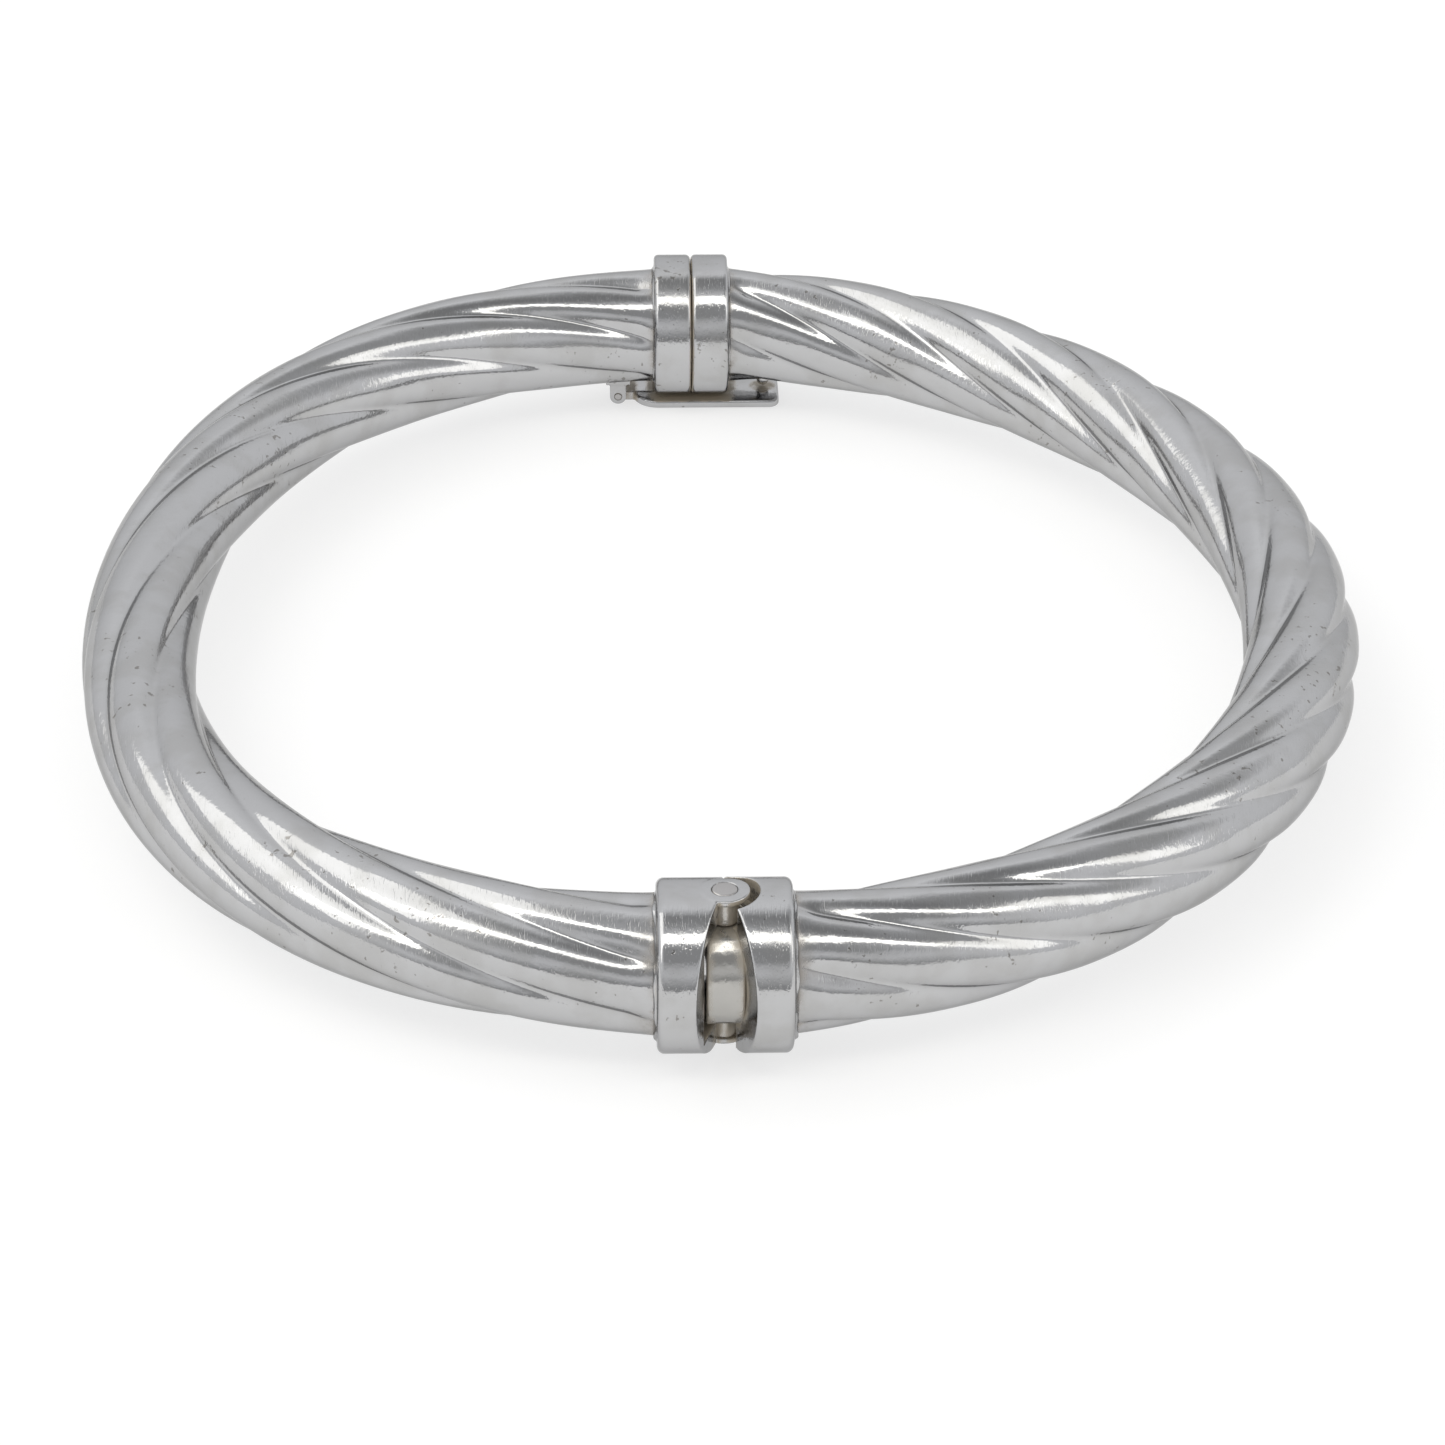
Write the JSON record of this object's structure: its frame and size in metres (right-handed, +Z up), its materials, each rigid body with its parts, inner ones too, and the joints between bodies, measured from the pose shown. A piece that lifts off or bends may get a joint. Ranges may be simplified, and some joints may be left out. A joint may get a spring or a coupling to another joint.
{
  "type": "bangle bracelet",
  "caption": "Hinged oval bangle of twisted fluted hollow tube, with banded collars at the hinge and the clasp and a safety catch under the clasp.",
  "frame": {"origin": "under the middle of the ring, in the plane of its lowest face, the underside of the safety catch", "axes": "+Z up through the wrist opening, +Y from the hinge to the clasp, +X to the right with the hinge in front"},
  "size_m": [0.0649, 0.0754, 0.0084],
  "materials": {
    "tube_silver": "polished sterling silver, lightly scratched",
    "collar_silver": "polished sterling silver, worn rims",
    "knuckle_silver": "cast sterling silver, slightly tarnished",
    "pin_silver": "riveted and filed flush",
    "spring_silver": "rolled sheet, satin"
  },
  "bodies": {
    "left_half": {"left_tube": "tube_silver", "left_hinge_collar": "collar_silver", "upper_hinge_knuckle": "knuckle_silver", "lower_hinge_knuckle": "knuckle_silver", "hinge_pin": "pin_silver", "left_clasp_collar": "collar_silver", "clasp_box": "spring_silver", "safety_lug": "collar_silver", "safety_pin": "pin_silver"},
    "right_half": {"right_tube": "tube_silver", "right_hinge_collar": "collar_silver", "middle_hinge_knuckle": "knuckle_silver", "right_clasp_collar": "collar_silver", "tongue_base": "spring_silver", "safety_stud": "collar_silver"},
    "latch": {"tongue_spring": "spring_silver", "release_tab": "collar_silver"},
    "catch": {"safety_catch": "collar_silver"}
  },
  "joints": [
    {"name": "main_hinge", "type": "hinge", "parent": "left_half", "child": "right_half", "pos_m": [-0.00085, -0.033, 0.0045], "axis": [0, 0, -1], "range_deg": [0, 32]},
    {"name": "latch_press", "type": "hinge", "parent": "right_half", "child": "latch", "pos_m": [-0.00505, 0.03275, 0.0045], "axis": [0, 0, -1], "range_deg": [0, 5], "stiffness_Nm_per_rad": 0.02},
    {"name": "catch_swing", "type": "hinge", "parent": "left_half", "child": "catch", "pos_m": [-0.00505, 0.0334, 0.00047], "axis": [0, 1, 0], "range_deg": [0, 100]}
  ]
}
